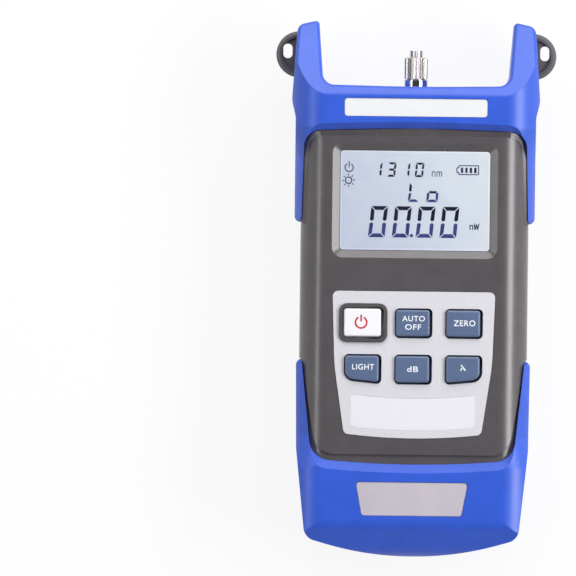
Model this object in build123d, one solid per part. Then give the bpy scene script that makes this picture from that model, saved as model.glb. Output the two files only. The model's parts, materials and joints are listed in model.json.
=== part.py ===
from build123d import *
from functools import lru_cache
import math
import os

# Handheld optical power meter, lying on its back.
# +Z comes out of the front face, +Y points at the optical adapter, +X is right in front view.
# The origin is under the middle of the back. Lengths are in millimetres.

# Overall sizes
overall_length = 190.0
overall_thickness = 48.0

# Blue bumpers: the top cap with its horns, and the bottom boot
bulge_half_width = 44.1
leg_half_width = 42.7
horn_height = 23.2
horn_tip_drop = 1.4
horn_tip_half_width = 42.3
horn_tip_outer_radius = 3.2
horn_peak_rise = 0.28
horn_gap_half_top = 34.7
horn_tip_inner_radius = 1.3
horn_gap_half_root = 33.0
horn_root_radius = 4.2
horn_tip_thickness = 23.0
horn_edge_round = 1.5
horn_round_depth = 7.8
horn_round_margin = 2.5
cap_top_dip = 0.6
cap_top_bow_radius = 800.0
cap_band = 14.4
cap_face_back = 2.7
cap_window_half = 39.4
cap_window_drop = 1.3
cap_window_corner = 6.0
cap_window_bow_radius = 600.0
cap_bevel = 2.2
cap_leg_flare = 0.9
top_leg_length = 33.9
bulge_swell_start = 3.9
bulge_swell_end = 9.4
bulge_radius = 10.0
boot_half_width = 41.6
boot_waist_half_width = 41.2
boot_foot_half_width = 37.9
boot_band = 31.8
boot_leg_length = 38.0
boot_waist_above_end = 38.0
boot_end_slope = 16.0
boot_end_corner = 5.0
boot_end_bow_radius = 110.0
boot_window_half = 35.9
boot_window_rise = 2.7
boot_window_corner = 7.5
boot_window_bow_radius = 350.0
boot_window_flare = 3.8
boot_bevel = 3.0
bumper_stand = 2.5
bumper_flank_half_width = 44.8
bumper_shoulder_radius = 13.0
bumper_back_half_width = 35.5
bumper_back_side_half_width = 42.3
bumper_back_flank_rise = 14.0
bumper_back_side_rise = 5.5
bumper_back_radius = 8.0
leg_flank_half_width = 43.2
leg_face_drop = 1.5
leg_shoulder_radius = 15.0
leg_fade = 11.0
bumper_edge_round = 2.2
leg_end_radius = 8.0
leg_end_inset = 7.0
leg_end_run = 14.0
boot_end_drop = 7.0
boot_end_run = 11.0
boot_end_radius = 7.0
face_corner_radius = 3.0

# Grey housing
housing_half_width = 40.5
housing_shoulder_radius = 10.5
housing_back_half_width = 34.5
housing_back_side_half_width = 38.8
housing_back_side_rise = 4.0
housing_back_flank_rise = 9.5
housing_back_radius = 5.5
housing_wall = 2.4
housing_rebate = 0.8
housing_rebate_margin = 1.7
housing_foot_half_width = 35.0
housing_waist_half_width = 40.0
housing_end_corner = 5.0
bumper_end_wall = 2.7
parting_gap = 0.5
parting_groove_depth = 0.6

# Screen
lens_width = 53.2
lens_height_share = 0.2927
lens_thickness = 1.2
lens_corner = 1.0
lens_recess = 1.3
screen_bevel = 2.7
screen_below_cap = 8.3
lens_ledge = 0.5
panel_margin = 0.9
panel_thickness = 2.4
backlight_thickness = 3.0
bracket_wall = 1.0
bracket_height = 4.6

# Keypad overlay and its bare window
overlay_length_share = 0.4345
overlay_above_boot = 10.0
overlay_bow_radius = 200.0
overlay_bow_rise = 0.9
overlay_side_radius = 60.0
overlay_top_half_width = 28.9
overlay_middle_half_width = 28.0
overlay_low_half_width = 24.4
overlay_end_bow = 1.7
overlay_corner = 2.0
overlay_thickness = 0.8
overlay_recess = 0.6
overlay_window_half_width = 22.0
overlay_window_top_share = 0.6985
overlay_window_bottom_share = 0.9008
overlay_window_bow = 2.3
overlay_window_bow_radius = 180.0
overlay_window_corner = 1.6
overlay_window_depth = 0.2

# Keys
key_width = 12.0
key_height_share = 0.1775
key_corner = 1.0
key_wide_corner = 3.0
key_slant_rise = 1.2
key_side_slack = 0.3
key_end_slack = 0.1
key_gap = 0.65
key_stand = 1.5
key_dish_round = 0.7
key_travel = 0.8
key_flange = 1.3
key_flange_thickness = 0.9
key_flange_gap = 0.3
key_column_pitch = 17.9
key_upper_row_share = 0.2156
key_lower_row_share = 0.5286
power_key_width = 13.2
power_key_height_share = 0.1889
power_collar_wall = 1.2
power_collar_stand = 0.9
power_key_extra_stand = 0.2
mat_margin = 2.0
mat_thickness = 1.0
mat_dome_radius = 3.8
mat_dome_top_radius = 2.8
mat_press_gap = 0.1

# Name plates, bare
top_plate_width = 50.9
top_plate_height = 6.5
top_plate_below_cap_top = 7.35
bottom_plate_top_width = 40.0
bottom_plate_low_width = 35.6
bottom_plate_height = 12.0
bottom_plate_above_end = 20.5
plate_corner = 1.2
plate_thickness = 0.6
plate_recess = 0.8

# Optical adapter, on the axis through the middle of the thickness
socket_radius = 4.25
socket_flange_radius = 6.0
socket_flange_thickness = 2.5
socket_collar_top = 2.7
spigot_radius = 3.1
spigot_length = 6.0
ferrule_hole_radius = 1.27
barrel_radius = 4.1
barrel_length = 7.9
barrel_gap = 0.15
barrel_lip = 0.9
knurl_count = 30
knurl_height = 0.28
knurl_end_chamfer = 0.5
sleeve_radius = 2.25
sleeve_stand = 2.4
sleeve_foot_radius = 2.9
sleeve_foot_thickness = 0.7
sleeve_gap = 0.3
sleeve_slot_width = 0.4
sleeve_slot_count = 4
sleeve_slot_depth = 2.2
adapter_running_gap = 0.05
detector_can_radius = 2.7
detector_can_length = 4.0
detector_seat_depth = 1.0
detector_rim_radius = 3.4
detector_rim_thickness = 0.5
detector_pin_radius = 0.25
detector_pin_length = 6.0
detector_pin_spread = 1.3

# Strap lugs
lug_stand = 7.55
lug_thickness = 7.0
lug_radius = 8.2
lug_centre_above_cap_top = 11.4
lug_hole_width = 3.25
lug_hole_height = 5.15
lug_hole_margin = 4.1
lug_edge_chamfer = 1.1
lug_hole_rise = 1.2
lug_rim = 2.1
lug_web_depth = 1.1
lug_tang_depth = 2.6
lug_tang_half_height = 5.0
lug_tang_thickness = 4.0
lug_seat_gap = 0.1

# Battery bay, with three AA cells side by side
cell_radius = 7.1
cell_length = 49.3
cell_nub_radius = 2.75
cell_nub_length = 1.2
cell_pitch = 15.2
cell_gap = 0.3
cell_edge_round = 0.6
bay_side_gap = 0.6
bay_wall = 1.6
bay_above_boot = 8.7
contact_thickness = 0.4
contact_half_width = 21.0
contact_height = 12.0
spring_length = 4.7
spring_width = 6.0
spring_foot_height = 10.4
spring_top_height = 4.8
spring_bend_radius = 0.9
spring_strip = 0.35
spring_foot_gap = 6.5
door_thickness = 2.0
door_overlap = 2.0
door_gap = 0.25
door_corner = 2.0
door_end_flat = 0.05
door_hinge_radius = 0.6
door_hinge_length = 1.2
door_hinge_gap = 0.1
door_grip_count = 5
door_grip_pitch = 2.2
door_grip_width = 1.0
door_grip_depth = 0.5
door_grip_half_length = 9.0

# Board, chips and screws
board_thickness = 1.6
board_half_width = 30.2
board_neck_half_width = 27.6
board_neck_length = 6.5
board_foot_length = 10.5
board_below_top = 11.6
board_above_boot = 3.2
board_corner = 1.5
board_post_radius = 2.6
board_post_half_width = 24.0
board_post_edge = 3.4
board_post_clearance = 0.6
board_screw_radius = 1.0
board_screw_head_radius = 2.0
board_screw_head = 1.3
board_screw_length = 4.5
board_hole_radius = 1.2
processor_width = 12.0
processor_height = 1.4
processor_above_foot = 48.0
amplifier_width = 6.0
amplifier_length = 5.0
amplifier_height = 1.5
amplifier_below_top = 13.5
screw_fit_gap = 0.03
screw_half_width = 31.0
screw_below_cap = 3.6
screw_above_boot = 10.2
screw_head_radius = 2.4
screw_head_height = 1.8
screw_well_radius = 2.7
screw_well_depth = 9.0
screw_boss_radius = 3.7
screw_post_radius = 2.7
screw_radius = 1.3
screw_hole_radius = 1.5
screw_length = 20.0
screw_slot_width = 0.7
screw_slot_depth = 0.8

# Cuts run past their faces by this much
overrun = 1.0

# Levels worked out from the sizes above
half_length = overall_length / 2
middle_z = overall_thickness / 2
front_z = overall_thickness - bumper_stand
back_z = bumper_stand
cap_top_y = half_length - horn_height
cap_low_y = cap_top_y - cap_band
top_leg_y = cap_low_y - top_leg_length
boot_high_y = boot_band - half_length
boot_leg_y = boot_high_y + boot_leg_length
housing_top_y = cap_top_y - bumper_end_wall
face_length = cap_low_y - boot_high_y
lens_height = lens_height_share * face_length
lens_top_y = cap_low_y - screen_below_cap
lens_low_y = lens_top_y - lens_height
overlay_length = overlay_length_share * face_length
overlay_low_y = boot_high_y + overlay_above_boot
overlay_top_y = overlay_low_y + overlay_length
key_height = key_height_share * overlay_length
key_upper_y = overlay_top_y - key_upper_row_share * overlay_length
key_lower_y = overlay_top_y - key_lower_row_share * overlay_length
bay_low_y = boot_high_y + bay_above_boot
board_top_y = housing_top_y - board_below_top
board_low_y = boot_high_y + board_above_boot
lug_reach = horn_tip_half_width + lug_stand
lug_hole_reach = lug_reach - lug_hole_margin
inner_front_z = front_z - housing_rebate - housing_wall
inner_back_z = back_z + housing_rebate + housing_wall
lens_top_z = front_z - lens_recess
lens_low_z = lens_top_z - lens_thickness
panel_low_z = inner_front_z - panel_thickness
board_top_z = panel_low_z - backlight_thickness
board_low_z = board_top_z - board_thickness
overlay_low_z = front_z - overlay_recess
overlay_top_z = overlay_low_z + overlay_thickness
key_flange_top_z = inner_front_z - key_flange_gap
key_low_z = key_flange_top_z - key_flange_thickness
mat_dome_top_z = key_low_z - key_travel - mat_press_gap
collar_top_z = overlay_top_z + power_collar_stand
cell_z = back_z + door_thickness + cell_gap + cell_radius


def rounded(corners):
    """A face from corners (x, y, radius), listed anticlockwise."""
    arcs = []
    count = len(corners)
    for i, (x, y, radius) in enumerate(corners):
        point = Vector(x, y)
        before = Vector(*corners[i - 1][:2]) - point
        after = Vector(*corners[(i + 1) % count][:2]) - point
        half = math.radians(before.get_angle(after)) / 2
        reach = radius / math.tan(half)
        inward = (before.normalized() + after.normalized()).normalized()
        middle = point + inward * (radius / math.sin(half) - radius)
        arcs.append((point + before.normalized() * reach, middle, point + after.normalized() * reach))
    edges = []
    for i, (start, middle, end) in enumerate(arcs):
        if corners[i][2] > 0:
            edges.append(ThreePointArc(start, middle, end))
        edges.append(Line(end, arcs[(i + 1) % count][0]))
    return make_face(Curve() + edges)


def grown(corners, step):
    """The same corners with every side moved out by step, or in where step is negative."""
    count = len(corners)
    moved = []
    for i, (x, y, radius) in enumerate(corners):
        point = Vector(x, y)
        into = (point - Vector(*corners[i - 1][:2])).normalized()
        out = (Vector(*corners[(i + 1) % count][:2]) - point).normalized()
        turn = into.X * out.Y - into.Y * out.X
        normals = Vector(into.Y, -into.X) + Vector(out.Y, -out.X)
        shift = normals * (step / (1 + into.dot(out)))
        new_radius = radius + step if turn > 0 else radius - step
        moved.append((x + shift.X, y + shift.Y, max(new_radius, 0) if radius > 0 else 0))
    return moved


def mirrored(half):
    """A full outline from its right half, listed from the bottom up."""
    left = [(-x, y, radius) for x, y, radius in reversed(half) if x > 0]
    return list(half) + left


def box_corners(x, y, width, height, radius):
    """Corners of a rounded rectangle centred on x, y."""
    return [
        (x + sx * width / 2, y + sy * height / 2, radius)
        for sx, sy in ((-1, -1), (1, -1), (1, 1), (-1, 1))
    ]


def prism_z(corners, low, high):
    """A front view outline, upright from low to high."""
    return extrude(Pos(0, 0, low) * rounded(corners), high - low)


def prism_y(corners, low, high):
    """An (x, z) section carried along Y."""
    plane = Plane(origin=(0, high, 0), x_dir=(1, 0, 0), z_dir=(0, -1, 0))
    return extrude(plane * rounded(corners), high - low)


def prism_x(corners, low, high):
    """A (y, z) section carried along X."""
    plane = Plane(origin=(low, 0, 0), x_dir=(0, 1, 0), z_dir=(1, 0, 0))
    return extrude(plane * rounded(corners), high - low)


def frustum_z(corners, low, high, step):
    """A front view outline that widens by step on its way from low to high."""
    faces = [Pos(0, 0, low) * rounded(corners), Pos(0, 0, high) * rounded(grown(corners, step))]
    return loft(faces, ruled=True)


def rod_z(x, y, radius, low, high):
    """A round rod or hole along Z."""
    return Pos(x, y, low) * Cylinder(radius, high - low, align=(Align.CENTER, Align.CENTER, Align.MIN))


def rod_y(x, z, radius, low, high):
    """A round rod or hole along Y."""
    return Pos(x, high, z) * Rot(90, 0, 0) * Cylinder(
        radius, high - low, align=(Align.CENTER, Align.CENTER, Align.MIN)
    )


def save(name, shape):
    """Writes one node."""
    export_step(shape, f"parts/{name}.step")


def housing_section():
    """Cross section of the grey housing: round front shoulders and a back that narrows in steps."""
    return mirrored(
        [
            (housing_back_half_width, back_z, housing_back_radius),
            (housing_back_side_half_width, back_z + housing_back_side_rise, housing_back_radius),
            (housing_half_width, back_z + housing_back_flank_rise, housing_back_radius),
            (housing_half_width, front_z, housing_shoulder_radius),
        ]
    )


def foot_corners(half_width, inset):
    """Lower corners of a front view outline whose foot follows the boot's bow, inset from it."""
    slope = math.radians(boot_end_slope)
    bow = boot_end_bow_radius - inset
    low = inset - half_length - bow * (1 / math.cos(slope) - 1)
    corner = low + half_width * math.tan(slope)
    return [(0, low, bow), (half_width, corner, boot_end_corner)]


def housing_outline():
    """Front view outline of the grey housing, narrower at the foot."""
    return mirrored(
        [
            *foot_corners(housing_foot_half_width, bumper_end_wall),
            (housing_waist_half_width, boot_high_y, housing_end_corner),
            (housing_half_width, boot_leg_y, housing_end_corner),
            (housing_half_width, housing_top_y, housing_end_corner),
        ]
    )


def foot_side(end_y):
    """Side view (y, z) of a piece that ends in the boot's rounded foot, from end_y down."""
    foot_y = boot_end_run - half_length
    high = overall_thickness
    return [
        (-half_length, boot_end_drop, boot_end_radius),
        (foot_y, 0, boot_end_radius),
        (end_y, 0, 0),
        (end_y, high, 0),
        (foot_y, high, boot_end_radius),
        (-half_length, high - boot_end_drop, boot_end_radius),
    ]


@lru_cache
def housing_block(inset):
    """The housing's outer form with every face moved in by inset."""
    reach = bumper_flank_half_width
    section = prism_y(grown(housing_section(), -inset), -half_length, half_length)
    section &= prism_z(grown(housing_outline(), -inset), 0, overall_thickness)
    return section & prism_x(grown(foot_side(half_length), -bumper_stand - inset), -reach, reach)


def cap_window():
    """The grey area that the top cap leaves open, in front view."""
    return mirrored(
        [
            (cap_window_half + cap_leg_flare, top_leg_y - overrun, 0),
            (cap_window_half, cap_low_y - cap_window_drop, cap_window_corner),
            (0, cap_low_y, cap_window_bow_radius),
        ]
    )


def boot_window():
    """The grey area that the boot leaves open, in front view."""
    return mirrored(
        [
            (0, boot_high_y, boot_window_bow_radius),
            (boot_window_half, boot_high_y + boot_window_rise, boot_window_corner),
            (boot_window_half + boot_window_flare, boot_leg_y + overrun, 0),
        ]
    )


def raised_panel():
    """The part of the housing that stands up to the bumpers' level line, inside the step."""
    low = boot_high_y + housing_rebate_margin
    high = cap_low_y - housing_rebate_margin
    return mirrored(
        [
            (boot_window_half - housing_rebate_margin, low + boot_window_rise, boot_window_corner),
            (boot_window_half + boot_window_flare, boot_leg_y, 0),
            (housing_half_width + overrun, boot_leg_y + overrun, 0),
            (housing_half_width + overrun, top_leg_y - overrun, 0),
            (cap_window_half + cap_leg_flare - housing_rebate_margin, top_leg_y, 0),
            (cap_window_half - housing_rebate_margin, high - cap_window_drop, cap_window_corner),
        ]
    )


@lru_cache
def housing_solid():
    """The whole grey housing before it is hollowed: a lower deck with the raised panel on it."""
    panel = housing_block(0) & prism_z(raised_panel(), 0, overall_thickness)
    return housing_block(housing_rebate) + panel


def bumper_section(flank, drop, shoulder):
    """Cross section of a blue bumper: a skin over the housing's section, with round front shoulders."""
    return mirrored(
        [
            (bumper_back_half_width, 0, bumper_back_radius),
            (bumper_back_side_half_width, bumper_back_side_rise, bumper_back_radius),
            (flank, bumper_back_flank_rise, bumper_back_radius),
            (flank, overall_thickness - drop, shoulder),
        ]
    )


def bumper_skin(end_y, band_y, fade_y, tip_y):
    """The bumpers' outside, full from end_y to band_y, then fading by fade_y to lower legs up to tip_y."""
    band = bumper_section(bumper_flank_half_width, 0, bumper_shoulder_radius)
    legs = bumper_section(leg_flank_half_width, leg_face_drop, leg_shoulder_radius)
    skin = prism_y(band, min(end_y, band_y), max(end_y, band_y))
    skin += prism_y(legs, min(fade_y, tip_y), max(fade_y, tip_y))
    places = [Plane(origin=(0, y, 0), x_dir=(1, 0, 0), z_dir=(0, -1, 0)) for y in (band_y, fade_y)]
    return skin + loft([places[0] * rounded(band), places[1] * rounded(legs)], ruled=True)


def cap_outline():
    """Front view outline of the top cap, from its leg tips up round both horns."""
    return mirrored(
        [
            (leg_half_width, top_leg_y, bumper_edge_round),
            (leg_half_width, cap_low_y + bulge_swell_start, bulge_radius),
            (bulge_half_width, cap_low_y + bulge_swell_end, bulge_radius),
            (horn_tip_half_width, half_length - horn_tip_drop, horn_tip_outer_radius),
            (horn_gap_half_top, half_length + horn_peak_rise, horn_tip_inner_radius),
            (horn_gap_half_root, cap_top_y + cap_top_dip, horn_root_radius),
            (0, cap_top_y, cap_top_bow_radius),
        ]
    )


def cap_side():
    """Side view (y, z) of the top cap: level face, then the long slope down past the horn tips."""
    face_y = cap_top_y - cap_face_back
    slope = (overall_thickness - horn_tip_thickness) / 2 / (half_length - face_y)
    end_y = half_length + overrun
    end_z = slope * (end_y - face_y)
    return [
        (top_leg_y, leg_end_inset, leg_end_radius),
        (top_leg_y + leg_end_run, 0, face_corner_radius),
        (face_y, 0, face_corner_radius),
        (end_y, end_z, 0),
        (end_y, overall_thickness - end_z, 0),
        (face_y, overall_thickness, face_corner_radius),
        (top_leg_y + leg_end_run, overall_thickness, face_corner_radius),
        (top_leg_y, overall_thickness - leg_end_inset, leg_end_radius),
    ]


def boot_outline():
    """Front view outline of the boot: tapered sides and a bowed foot."""
    return mirrored(
        [
            *foot_corners(boot_foot_half_width, 0),
            (boot_waist_half_width, boot_waist_above_end - half_length, boot_end_corner),
            (boot_half_width, boot_leg_y, bumper_edge_round),
        ]
    )


def boot_side():
    """Side view (y, z) of the boot."""
    leg_y = boot_leg_y - leg_end_run
    high = overall_thickness
    foot = foot_side(leg_y)
    tips = [(boot_leg_y, leg_end_inset, leg_end_radius), (boot_leg_y, high - leg_end_inset, leg_end_radius)]
    knees = [(leg_y, 0, face_corner_radius), (leg_y, high, face_corner_radius)]
    return [*foot[:2], knees[0], *tips, knees[1], *foot[-2:]]


@lru_cache
def cap_form():
    """The top cap's outer form, before it is fitted over the housing, with soft horn edges."""
    reach = bumper_flank_half_width
    split = cap_top_y - horn_round_depth
    flat = prism_z(cap_outline(), 0, overall_thickness) & prism_x(cap_side(), -reach, reach)
    block = Box(overall_length, overall_length, overall_length)
    upper = flat & Pos(0, split + half_length, middle_z) * block
    lower = flat & Pos(0, split - half_length, middle_z) * block
    straight = upper.edges().filter_by(Axis.X) + upper.edges().filter_by(Axis.Z)
    rims = [edge for edge in upper.edges() if edge.center().Y > split + horn_round_margin]
    soft = [edge for edge in rims if not any(edge.is_same(other) for other in straight)]
    form = fillet(soft, horn_edge_round) + lower
    return form & bumper_skin(half_length + overrun, cap_low_y, cap_low_y - leg_fade, -half_length)


def boot_form():
    """The boot's outer form, before it is fitted over the housing."""
    form = bumper_skin(-half_length - overrun, boot_high_y, boot_high_y + leg_fade, half_length)
    form &= prism_z(boot_outline(), 0, overall_thickness)
    return form & prism_x(boot_side(), -bumper_flank_half_width, bumper_flank_half_width)


def window_cut(window, bevel):
    """The opening through a bumper, front and back, with a sloping rim on both faces."""
    cut = prism_z(window, -overrun, overall_thickness + overrun)
    rim = frustum_z(window, front_z, overall_thickness, bevel)
    return cut + rim + mirror(rim, Plane.XY.offset(middle_z))


def lug_tang(side, gap):
    """The tongue that seats a strap lug in its horn, or its pocket where gap is not zero."""
    y = cap_top_y + lug_centre_above_cap_top
    low = horn_tip_half_width - lug_tang_depth - gap
    high = lug_hole_reach - lug_hole_width / 2
    height = 2 * (lug_tang_half_height + gap)
    thick = lug_tang_thickness + 2 * gap
    return Pos(side * (low + high) / 2, y, middle_z) * Box(high - low, height, thick)


def plate_corners():
    """Outline of the bare name plate on the cap."""
    y = cap_top_y - top_plate_below_cap_top
    return box_corners(0, y, top_plate_width, top_plate_height, plate_corner)


def foot_plate_corners():
    """Outline of the bare name plate on the boot, narrower at the foot."""
    low = bottom_plate_above_end - bottom_plate_height / 2 - half_length
    high = low + bottom_plate_height
    return mirrored(
        [
            (bottom_plate_low_width / 2, low, plate_corner),
            (bottom_plate_top_width / 2, high, plate_corner),
        ]
    )


def bumper_plate(corners):
    """A thin plate lying in its recess."""
    low = overall_thickness - plate_recess
    return prism_z(grown(corners, -lug_seat_gap), low, low + plate_thickness)


def top_cap():
    """Blue moulding with two guard horns and two side legs."""
    cap = cap_form() - housing_solid() - window_cut(cap_window(), cap_bevel)
    cap -= prism_z(plate_corners(), overall_thickness - plate_recess, overall_thickness + overrun)
    cap -= rod_y(0, middle_z, socket_radius + lug_seat_gap, housing_top_y - overrun, half_length)
    for side in (-1, 1):
        cap -= lug_tang(side, lug_seat_gap)
    return cap


def bottom_boot():
    """Blue moulding round the foot, with two side legs."""
    boot = boot_form() - housing_solid() - window_cut(boot_window(), boot_bevel)
    recess = prism_z(
        foot_plate_corners(), overall_thickness - plate_recess, overall_thickness + overrun
    )
    return boot - recess


def strap_lug(side):
    """A round loop on the outside of a horn: a raised rim round a thin web, and a tongue in the horn."""
    x = lug_reach - lug_radius
    y = cap_top_y + lug_centre_above_cap_top
    low = middle_z - lug_thickness / 2
    disc = rod_z(x, y, lug_radius, low, low + lug_thickness)
    disc = chamfer(disc.edges().filter_by(GeomType.CIRCLE), lug_edge_chamfer)
    hole_corner = lug_hole_width / 2 - lug_seat_gap
    hole = box_corners(lug_hole_reach, y + lug_hole_rise, lug_hole_width, lug_hole_height, hole_corner)
    for face in (low, low + lug_thickness):
        disc -= rod_z(x, y, lug_radius - lug_rim, face - lug_web_depth, face + lug_web_depth)
    outside = box_corners(lug_reach, y, 2 * lug_radius, 2 * lug_radius, 0)
    lug = (disc & prism_z(outside, 0, overall_thickness)) - cap_form() + lug_tang(1, 0)
    lug -= prism_z(hole, low - overrun, low + lug_thickness + overrun)
    return lug if side > 0 else mirror(lug, Plane.YZ)


def lens_corners():
    """Outline of the display lens."""
    return box_corners(0, (lens_top_y + lens_low_y) / 2, lens_width, lens_height, lens_corner)


def overlay_corners():
    """Outline of the keypad overlay: straight top, tapering sides, bowed foot."""
    middle = (overlay_low_y + overlay_top_y) / 2
    return mirrored(
        [
            (0, overlay_low_y - overlay_bow_rise, overlay_bow_radius),
            (overlay_low_half_width, overlay_low_y + overlay_end_bow, overlay_corner),
            (overlay_middle_half_width, middle, overlay_side_radius),
            (overlay_top_half_width, overlay_top_y, overlay_corner),
        ]
    )


def overlay_window_corners():
    """The bare window pressed into the overlay: hollow top edge, bowed foot."""
    bow = overlay_window_bow
    low = overlay_top_y - overlay_window_bottom_share * overlay_length
    high = overlay_top_y - overlay_window_top_share * overlay_length
    return mirrored(
        [
            (0, low - bow, overlay_window_bow_radius),
            (overlay_window_half_width, low, overlay_window_corner),
            (overlay_window_half_width, high, overlay_window_corner / 2),
            (0, high - bow, overlay_window_bow_radius),
        ]
    )


def key_table():
    """Each key's name, centre, size, stand above the overlay and the corner that is cut wide."""
    upper = key_upper_y
    lower = key_lower_y
    usual = (key_width, key_height, key_stand)
    power_height = power_key_height_share * overlay_length
    power = (power_key_width, power_height, key_stand + power_key_extra_stand)
    return [
        ("power_key", -key_column_pitch, upper, *power, None),
        ("auto_off_key", 0, upper, *usual, None),
        ("zero_key", key_column_pitch, upper, *usual, None),
        ("light_key", -key_column_pitch, lower, *usual, 0),
        ("decibel_key", 0, lower, *usual, None),
        ("wavelength_key", key_column_pitch, lower, *usual, 1),
    ]


def key_corners(x, y, width, height, wide):
    """Outline of one key, its foot slanting up to a wide corner where it has one."""
    corners = box_corners(x, y, width, height, key_corner)
    if wide is not None:
        corner_x, corner_y, _ = corners[wide]
        corners[wide] = (corner_x, corner_y + key_slant_rise, key_wide_corner)
    return corners


def power_collar():
    """Outline of the collar that stands round the power key."""
    name, x, y, width, height, stand, wide = key_table()[0]
    return grown(key_corners(x, y, width, height, wide), key_gap + power_collar_wall)


def key_cap(x, y, width, height, stand, wide):
    """One hard key, a cap over a flange that keeps it in, resting a little up and left in its hole."""
    corners = key_corners(x - key_side_slack, y + key_end_slack, width, height, wide)
    top = overlay_top_z + stand
    cap = prism_z(corners, key_flange_top_z, top)
    cap = fillet(cap.faces().sort_by(Axis.Z)[-1].edges(), key_dish_round)
    return cap + prism_z(grown(corners, key_flange), key_low_z, key_flange_top_z)


def screw_places():
    """Where the housing screws stand, in front view."""
    rows = (cap_low_y - screw_below_cap, boot_high_y + screw_above_boot)
    return [(side * screw_half_width, y) for side in (-1, 1) for y in rows]


def board_posts():
    """Where the board is screwed to the front shell."""
    bracket_low = lens_low_y - panel_margin - lug_seat_gap - bracket_wall
    middle = bracket_low - board_post_radius - board_post_clearance
    rows = (board_top_y - board_post_edge, middle, board_low_y + board_post_edge)
    return [(side * board_post_half_width, y) for side in (-1, 1) for y in rows]


def half_block():
    """A block that holds the front half of the housing."""
    corners = box_corners(0, 0, 2 * bulge_half_width, overall_length, 0)
    return prism_z(corners, middle_z, overall_thickness)


def connector_hole():
    """The round hole for the adapter's collar, shared by both shells."""
    return rod_y(0, middle_z, socket_radius + lug_seat_gap, socket_rear(), half_length)


def front_shell():
    """Grey front moulding: shoulders, screen recess, key holes, power collar, posts."""
    body = housing_solid() & half_block()
    groove = prism_z(
        box_corners(0, 0, 2 * bulge_half_width, overall_length, 0), middle_z, middle_z + parting_gap
    )
    shell = body - housing_block(housing_rebate + housing_wall)
    shell -= groove - housing_block(parting_groove_depth)
    posts = [rod_z(x, y, board_post_radius, board_top_z, front_z) for x, y in board_posts()]
    posts += [rod_z(x, y, screw_post_radius, middle_z, front_z) for x, y in screw_places()]
    for post in posts:
        shell += post & housing_block(housing_rebate)
    pocket = grown(lens_corners(), lug_seat_gap)
    shell -= prism_z(pocket, lens_low_z, front_z + overrun)
    shell -= frustum_z(pocket, lens_top_z, front_z, screen_bevel)
    shell -= prism_z(grown(lens_corners(), -lens_ledge), inner_back_z, front_z)
    shell -= prism_z(grown(overlay_corners(), lug_seat_gap), overlay_low_z, front_z + overrun)
    shell += prism_z(power_collar(), inner_front_z, collar_top_z)
    for name, x, y, width, height, stand, wide in key_table():
        hole = grown(key_corners(x, y, width, height, wide), key_gap)
        shell -= prism_z(hole, inner_back_z, overall_thickness)
    for x, y in board_posts():
        pilot = board_screw_radius + screw_fit_gap
        shell -= rod_z(x, y, pilot, board_top_z - overrun, board_low_z + board_screw_length + overrun)
    for x, y in screw_places():
        top = back_z + screw_well_depth + screw_length + overrun
        shell -= rod_z(x, y, screw_radius + screw_fit_gap, middle_z - overrun, top)
    return shell - connector_hole()


def bay_corners():
    """Outline of the battery bay in front view."""
    length = cell_length + cell_nub_length + spring_length + 2 * contact_thickness
    half = cell_pitch + cell_radius + bay_side_gap
    return box_corners(0, bay_low_y + length / 2, 2 * half, length, 0)


def door_corners():
    """Outline of the battery door, which laps over the bay's rim, square at its hinge end."""
    lapped = grown(bay_corners(), door_overlap)
    return [(x, y, door_corner if y > bay_low_y else 0) for x, y, radius in lapped]


def hinge_line():
    """The (y, z) place of the battery door's hinge pins."""
    y = min(corner[1] for corner in door_corners())
    return y + door_thickness / 2, back_z + door_thickness / 2


def hinge_pin(side, radius, reach):
    """A hinge pin of the battery door, or its hole in the rear shell."""
    y, z = hinge_line()
    edge = max(corner[0] for corner in door_corners())
    pin = Rot(0, 90, 0) * Cylinder(radius, 2 * reach)
    return Pos(side * edge, y, z) * pin


def rear_shell():
    """Grey rear moulding: battery bay, door opening, screw wells and bosses."""
    shell = housing_solid() - half_block() - housing_block(housing_rebate + housing_wall)
    roof = cell_z + cell_radius + cell_gap
    shell += prism_z(grown(bay_corners(), bay_wall), inner_back_z - housing_wall / 2, roof + bay_wall)
    for x, y in screw_places():
        shell += rod_z(x, y, screw_boss_radius, back_z + housing_wall, middle_z)
    shell -= prism_z(bay_corners(), back_z, roof)
    rim = back_z + door_thickness + cell_gap
    shell -= prism_z(grown(door_corners(), door_gap), back_z - overrun, rim)
    for side in (-1, 1):
        hole = door_gap + door_hinge_length + door_hinge_gap
        shell -= hinge_pin(side, door_hinge_radius + door_hinge_gap, hole)
    for x, y in screw_places():
        seat = back_z + screw_well_depth
        shell -= rod_z(x, y, screw_well_radius, back_z - overrun, seat)
        shell -= rod_z(x, y, screw_hole_radius, seat - overrun, middle_z + overrun)
    return shell - connector_hole()


def battery_door():
    """Snap lid of the battery bay, turning on two short pins at its lower edge."""
    corners = door_corners()
    half = max(corner[0] for corner in corners)
    low = min(corner[1] for corner in corners)
    high = max(corner[1] for corner in corners)
    round_end = door_thickness / 2 - door_end_flat
    section = [
        (low, back_z, round_end),
        (high, back_z, 0),
        (high, back_z + door_thickness, 0),
        (low, back_z + door_thickness, round_end),
    ]
    door = prism_x(section, -half, half) & prism_z(corners, 0, middle_z)
    for i in range(door_grip_count):
        y = high - (i + 2) * door_grip_pitch
        groove = Box(2 * door_grip_half_length, door_grip_width, 2 * door_grip_depth)
        door -= Pos(0, y, back_z) * groove
    for side in (-1, 1):
        door += hinge_pin(side, door_hinge_radius, door_gap + door_hinge_length)
    return door


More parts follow.
